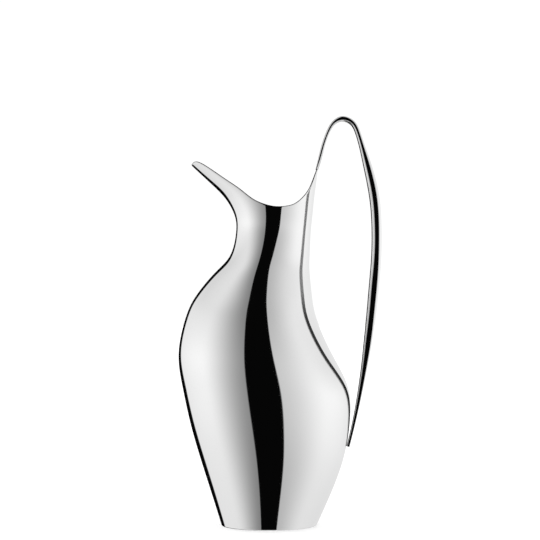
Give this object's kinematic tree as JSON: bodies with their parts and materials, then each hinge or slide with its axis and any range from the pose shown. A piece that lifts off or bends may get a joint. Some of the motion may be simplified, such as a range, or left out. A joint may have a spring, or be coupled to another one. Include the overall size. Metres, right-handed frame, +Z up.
{
  "type": "water pitcher",
  "caption": "Tall mirror-polished metal water pitcher with an asymmetric swelling belly, a long beak spout and a looped bar handle that grows out of the rim.",
  "frame": {"origin": "on the surface the pitcher stands on, under the middle of the foot, in the plane of symmetry", "axes": "+Z up, +X towards the handle, -X towards the spout, +Y to the right of a person who holds the handle and faces the spout"},
  "size_m": [0.1764, 0.125, 0.3557],
  "materials": {
    "body_polish": "polished",
    "base_metal": "satin",
    "handle_polish": "polished"
  },
  "bodies": {
    "root": {"body_left_half": "body_polish", "body_right_half": "body_polish", "base_plate": "base_metal", "handle": "handle_polish"}
  },
  "joints": []
}
